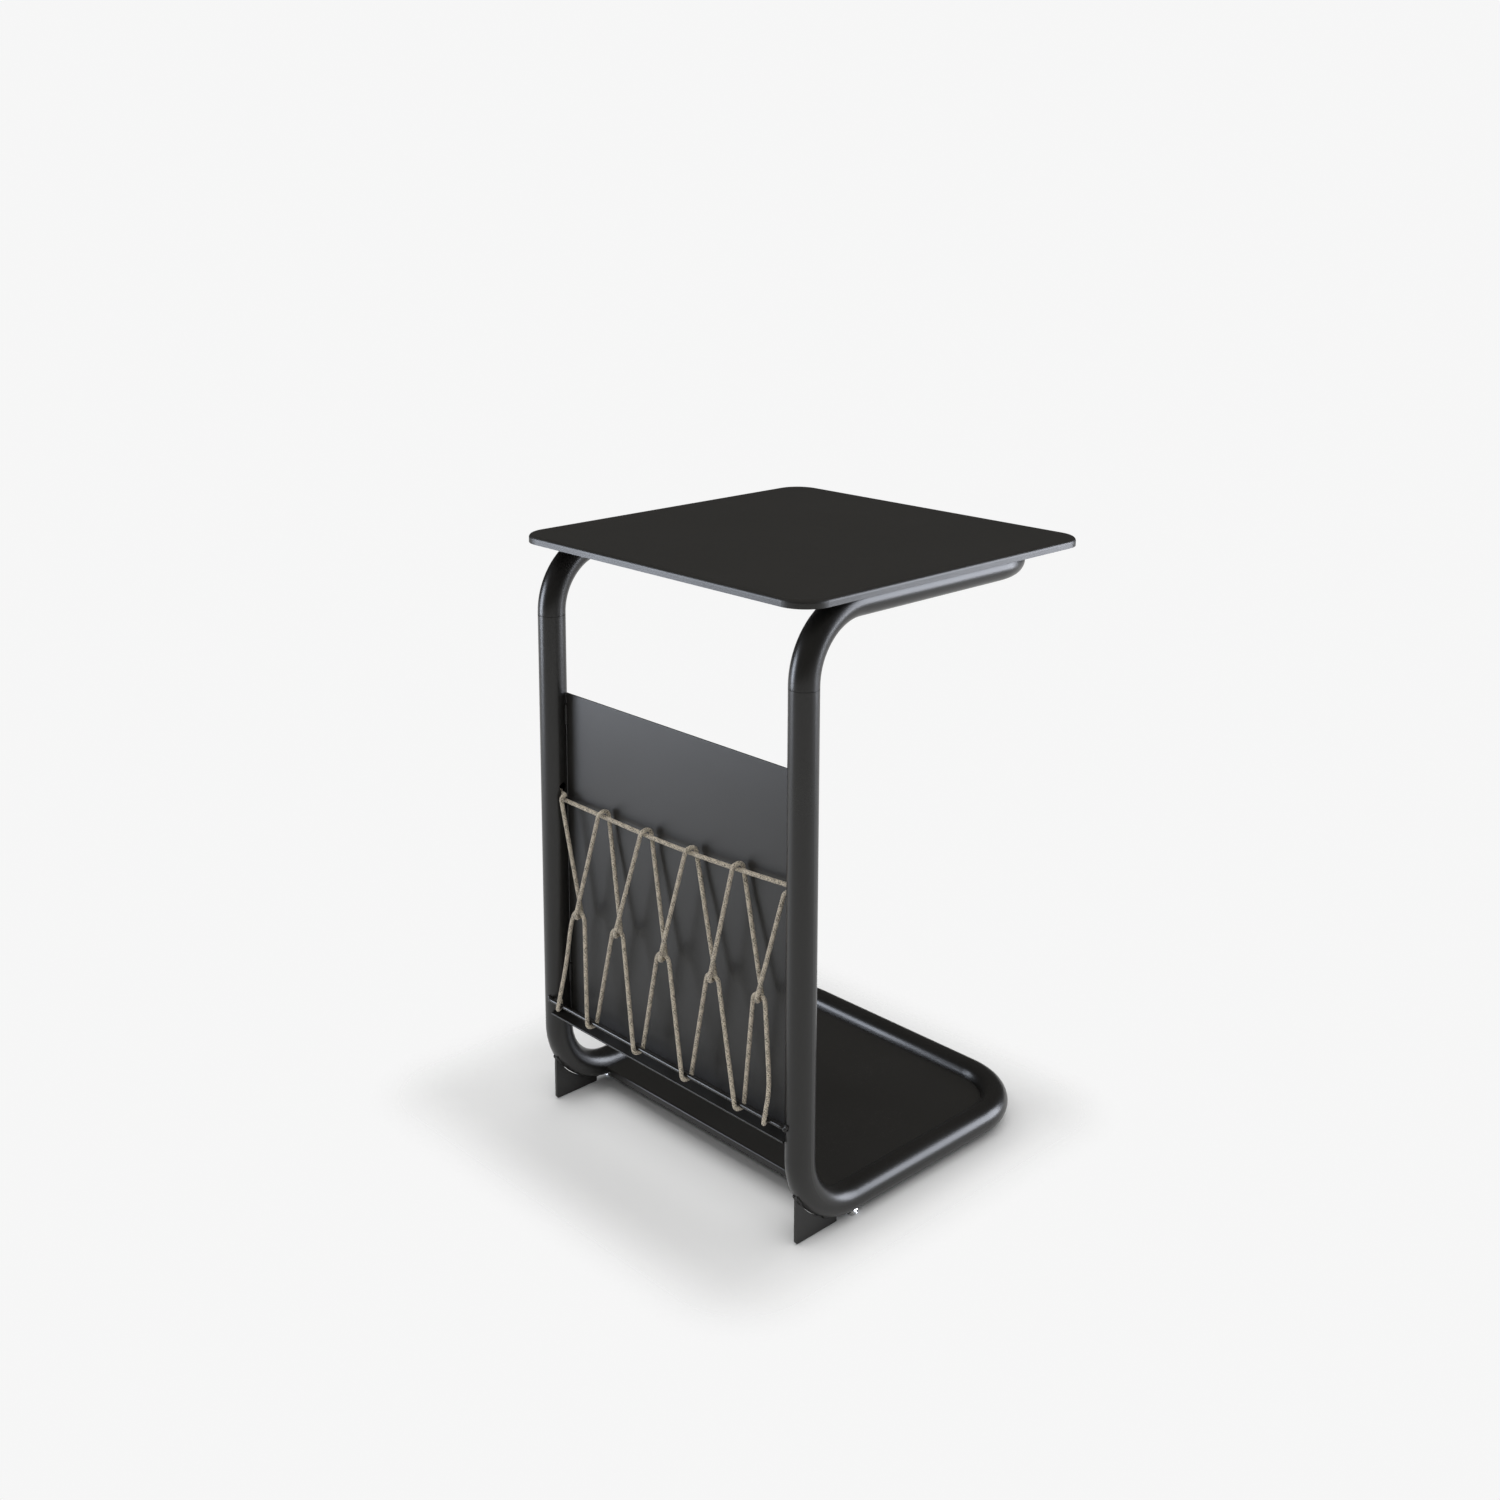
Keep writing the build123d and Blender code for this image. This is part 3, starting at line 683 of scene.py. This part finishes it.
def bead_places():
    """Ends and radius of every weld bead, by the frame part that it belongs to."""
    places = {node: [] for node in WELDS}
    for side in (-1, 1):
        places["top_plate_welds"] += edge_beads(
            side, TOP_WELD_X, TOP_WELD_SIDE_Y, TOP_WELD_FAR_Y, TOP_WELD_Z, TOP_WELD_HALF, TOP_WELD_RADIUS)
        places["shelf_welds"] += edge_beads(
            side, SHELF_WELD_X, SHELF_WELD_SIDE_Y, SHELF_WELD_FAR_Y, SHELF_WELD_Z, SHELF_WELD_HALF,
            SHELF_WELD_RADIUS)
        x = side * PANEL_WELD_X
        for z in PANEL_WELD_LOW_Z:
            ends = ((x, PANEL_WELD_Y, z), (x, PANEL_WELD_Y, z + PANEL_WELD_LENGTH))
            places["rack_panel_welds"].append((*ends, PANEL_WELD_RADIUS))
        places["rack_panel_welds"].append(mirrored(side, LEDGE_WELD, LEDGE_WELD_RADIUS))
        places["rack_rod_welds"].append(mirrored(side, ROD_WELD, ROD_WELD_RADIUS))
        for face in (-1, 1):
            x = side * FOOT_X + face * FOOT_WELD_OFFSET
            places["foot_plate_welds"] += [foot_bead(x, turn) for turn in FOOT_WELD_TURNS]
    return places


def knot_line(side):
    """Line of a round stopper knot: one cord wound three times round, over and under itself."""
    turn = np.linspace(0.0, 2 * pi * KNOT_TURNS, 900, endpoint=False)
    latitude = KNOT_LATITUDE * np.sin(turn * 4 / 3)
    reach = KNOT_REACH + KNOT_WEAVE * np.cos(turn * 8 / 3)
    round_knot = reach * np.cos(latitude)
    return np.stack([
        side * (KNOT_X + reach * np.sin(latitude)), KNOT_Y + round_knot * np.cos(turn),
        KNOT_Z + round_knot * np.sin(turn)], 1)


# ---------------------------------------------------------------- operators

class SIDETABLE_OT_metalwork(Operator):
    """Paint the frame, the sheets and the rod, and plate the glide nuts"""
    bl_idname = "sidetable.metalwork"
    bl_label = "Painted Metalwork"

    def execute(self, context):
        settings = context.scene.sidetable_paint
        # Painted shade: the tubes get a darker copy of the one coat, at 0.72 of its colour.
        tube_paint = paint_material(settings, "frame_paint", 0.72, -0.06)
        sheet_paint = paint_material(settings, "sheet_paint", 1.0, 0.02)
        for node in PAINTED_FRAME:
            give_material(node, tube_paint)
        for node in PAINTED_SHEETS:
            give_material(node, sheet_paint)
        give_material("glide_nuts", zinc_material())
        return {"FINISHED"}


class SIDETABLE_OT_welds(Operator):
    """Lay the weld beads, painted over with the frame"""
    bl_idname = "sidetable.welds"
    bl_label = "Weld Beads"

    def execute(self, context):
        settings = context.scene.sidetable_weld
        # Painted shade: the welds get a darker copy of the one coat, at 0.8 of its colour.
        paint = paint_material(context.scene.sidetable_paint, "weld_paint", 0.8, -0.02)
        for node, beads in bead_places().items():
            mesh = merged_mesh(node + "_beads", [bead_skin(*bead, settings) for bead in beads])
            new_piece(node + "_beads", mesh, paint, "frame_paint", TABLE, node)
        return {"FINISHED"}


class SIDETABLE_OT_cords(Operator):
    """Lace the rack with its three braided cords"""
    bl_idname = "sidetable.cords"
    bl_label = "Braided Cords"

    def execute(self, context):
        settings = context.scene.sidetable_cord
        yarn = cord_material(settings)
        routes = {
            "top_cord": TOP_CORD_ROUTE,
            "upper_lacing_cord": UPPER_LACING_ROUTE,
            "lower_lacing_cord": LOWER_LACING_ROUTE,
        }
        for node, route in routes.items():
            line = smooth_line(route, node + "_line")
            mesh, length = braided_mesh(node + "_braid", line, settings)
            piece = new_piece(node + "_braid", mesh, yarn, "braided_cord", TABLE, node)
        knots = [braided_mesh("knot", knot_line(side), settings, 12)[0] for side in (-1, 1)]
        knots_mesh = joined("cord_knots_braid", knots)
        new_piece("cord_knots_braid", knots_mesh, yarn, "braided_cord", TABLE, "cord_knots")
        return {"FINISHED"}


class SIDETABLE_OT_glides(Operator):
    """Finish the four levelling glides"""
    bl_idname = "sidetable.glides"
    bl_label = "Levelling Glides"

    def execute(self, context):
        settings = context.scene.sidetable_glide
        chrome = chrome_material()
        for node, (x, y) in GLIDES.items():
            mesh = merged_mesh(node + "_turned", [glide_skin(x, y, settings)])
            new_piece(node + "_turned", mesh, chrome, "glide_chrome", node, node)
        return {"FINISHED"}


def area_light(name, place, size, power, colour, reach):
    """Softbox aimed at the table, which only matt shading or only reflections see."""
    light = bpy.data.lights.new(name, "AREA")
    light.shape = "RECTANGLE"
    light.size, light.size_y = size
    light.energy = power
    light.color = colour
    lamp = bpy.data.objects.new(name, light)
    lamp.location = place
    lamp.rotation_euler = (Vector(LIGHT_TARGET) - Vector(place)).to_track_quat("-Z", "Y").to_euler()
    lamp.visible_camera = False
    lamp.visible_diffuse = reach == "matt"
    lamp.visible_glossy = reach == "reflections"
    bpy.context.scene.collection.objects.link(lamp)


def floor_fade(tree, position, settings):
    """0 under and around the table, rising to 1 where the floor has melted into the backdrop."""
    outside = position
    for operation, other in (("SUBTRACT", settings.fade_centre), ("ABSOLUTE", None),
                             ("SUBTRACT", settings.fade_half_size), ("MAXIMUM", (0.0, 0.0, 0.0)),
                             ("LENGTH", None)):
        step = tree.nodes.new("ShaderNodeVectorMath")
        step.operation = operation
        tree.links.new(outside, step.inputs[0])
        if other:
            step.inputs[1].default_value = other
        outside = step.outputs["Value" if operation == "LENGTH" else "Vector"]
    return remap(tree, outside, 0.0, settings.fade_width, 0.0, 1.0, True)


def studio_floor(settings):
    """Wide round floor that fades into the backdrop."""
    radius = settings.floor_radius
    turns = [2 * pi * side / FLOOR_SIDES for side in range(FLOOR_SIDES)]
    points = [(0.0, 0.0, 0.0)] + [(radius * cos(turn), radius * sin(turn), 0.0) for turn in turns]
    faces = [(0, 1 + side, 1 + (side + 1) % FLOOR_SIDES) for side in range(FLOOR_SIDES)]
    mesh = bpy.data.meshes.new("studio_floor")
    mesh.from_pydata(points, [], faces)
    floor = bpy.data.objects.new("studio_floor", mesh)
    bpy.context.scene.collection.objects.link(floor)
    material, tree, shader, position = new_material("studio_floor")
    shader.inputs["Base Color"].default_value = (*settings.floor_colour, 1.0)
    shader.inputs["Roughness"].default_value = 0.9
    shader.inputs["Specular IOR Level"].default_value = 0.1
    fade = floor_fade(tree, position, settings)
    seen = tree.nodes.new("ShaderNodeLightPath").outputs["Is Camera Ray"]
    hidden = math_node(tree, "MULTIPLY", seen, fade)
    tree.links.new(math_node(tree, "SUBTRACT", 1.0, hidden), shader.inputs["Alpha"])
    mesh.materials.append(material)


def studio_world(settings):
    """Even backdrop for the camera, and a dimmer room for the light."""
    world = bpy.data.worlds.new("studio_world")
    bpy.context.scene.world = world
    world.use_nodes = True
    tree = world.node_tree
    room = tree.nodes["Background"]
    room.inputs["Color"].default_value = (1.0, 1.0, 1.0, 1.0)
    room.inputs["Strength"].default_value = settings.ambient
    backdrop = tree.nodes.new("ShaderNodeBackground")
    backdrop.inputs["Color"].default_value = (1.0, 1.0, 1.0, 1.0)
    backdrop.inputs["Strength"].default_value = settings.backdrop
    seen = tree.nodes.new("ShaderNodeLightPath").outputs["Is Camera Ray"]
    mix = tree.nodes.new("ShaderNodeMixShader")
    tree.links.new(seen, mix.inputs["Fac"])
    tree.links.new(room.outputs[0], mix.inputs[1])
    tree.links.new(backdrop.outputs[0], mix.inputs[2])
    tree.links.new(mix.outputs[0], tree.nodes["World Output"].inputs["Surface"])


def studio_camera():
    data = bpy.data.cameras.new("studio_camera")
    data.sensor_width = CAMERA_SENSOR
    data.lens = CAMERA_LENS
    data.shift_x, data.shift_y = CAMERA_SHIFT
    camera = bpy.data.objects.new("studio_camera", data)
    camera.location = CAMERA_PLACE
    camera.rotation_euler = CAMERA_TURN
    bpy.context.scene.collection.objects.link(camera)
    bpy.context.scene.camera = camera


class SIDETABLE_OT_studio(Operator):
    """Set the floor, the lights and the camera"""
    bl_idname = "sidetable.studio"
    bl_label = "Studio"

    def execute(self, context):
        settings = context.scene.sidetable_studio
        studio_floor(settings)
        studio_world(settings)
        studio_camera()
        context.scene.view_settings.view_transform = "Standard"
        for light in STUDIO_LIGHTS:
            area_light(*light)
        return {"FINISHED"}


OPERATORS = (
    SIDETABLE_OT_metalwork, SIDETABLE_OT_welds, SIDETABLE_OT_cords, SIDETABLE_OT_glides, SIDETABLE_OT_studio,
)


class SIDETABLE_PT_parts(Panel):
    """Lists the table's pieces and their settings"""
    bl_label = "Side Table"
    bl_space_type = "VIEW_3D"
    bl_region_type = "UI"
    bl_category = "Side Table"

    def draw(self, context):
        layout = self.layout
        for operator in OPERATORS:
            layout.operator(operator.bl_idname)
        for name, group in SETTINGS.items():
            box = layout.box()
            box.label(text=group.__doc__)
            for prop in group.__annotations__:
                box.prop(getattr(context.scene, name), prop)


def register():
    for cls in (*SETTINGS.values(), *OPERATORS, SIDETABLE_PT_parts):
        bpy.utils.register_class(cls)
    for name, group in SETTINGS.items():
        setattr(bpy.types.Scene, name, PointerProperty(type=group))


def unregister():
    for name in SETTINGS:
        delattr(bpy.types.Scene, name)
    for cls in reversed((*SETTINGS.values(), *OPERATORS, SIDETABLE_PT_parts)):
        bpy.utils.unregister_class(cls)


def main():
    register()
    bpy.ops.sidetable.metalwork()
    bpy.ops.sidetable.welds()
    bpy.ops.sidetable.cords()
    bpy.ops.sidetable.glides()
    bpy.ops.sidetable.studio()


if __name__ == "__main__":
    main()
